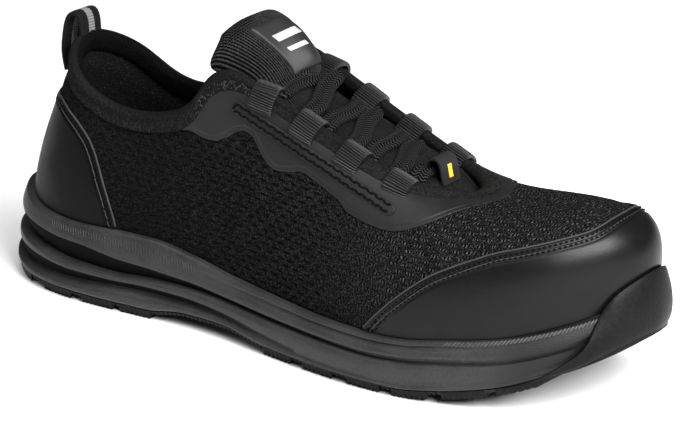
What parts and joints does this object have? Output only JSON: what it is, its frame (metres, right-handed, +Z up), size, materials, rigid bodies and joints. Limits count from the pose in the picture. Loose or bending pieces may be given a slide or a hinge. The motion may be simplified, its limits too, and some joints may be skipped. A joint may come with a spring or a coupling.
{
  "type": "safety shoe",
  "caption": "Low laced safety shoe for the right foot with a knit upper, leather toe cap and heel counter, and a lugged moulded sole with a toe bumper.",
  "frame": {"origin": "middle of the footprint's bounding box, on the floor", "axes": "+X from heel to toe, +Y to the wearer's inner side, +Z up"},
  "size_m": [0.302, 0.1034, 0.1288],
  "materials": {
    "knit": "matt engineered knit with rows of slits",
    "tongue_knit": "matt rib knit",
    "midsole": "satin moulded foam",
    "outsole": "matt moulded rubber",
    "lining": "brushed lining fabric",
    "leather": "satin smooth coated leather",
    "film": "fused polyurethane film",
    "binding": "knitted edge tape with stitches",
    "webbing": "ribbed webbing",
    "lace": "flat woven lace",
    "patch": "smooth moulded patch"
  },
  "bodies": {
    "root": {"upper": "knit", "midsole": "midsole", "outsole": "outsole", "insole": "lining", "tongue": "tongue_knit", "toe_cap": "leather", "heel_counter": "leather", "eyestay": "film", "collar_binding": "binding", "pull_loop": "webbing", "lace_loop_outer_1": "webbing", "lace_loop_outer_2": "webbing", "lace_loop_outer_3": "webbing", "lace_loop_outer_4": "webbing", "lace_loop_inner_1": "webbing", "lace_loop_inner_2": "webbing", "lace_loop_inner_3": "webbing", "lace_loop_inner_4": "webbing", "lace_cross_1": "lace", "lace_cross_2": "lace", "lace_cross_3": "lace", "lace_bar": "lace", "lace_tag": "webbing", "tongue_label": "patch"}
  },
  "joints": []
}
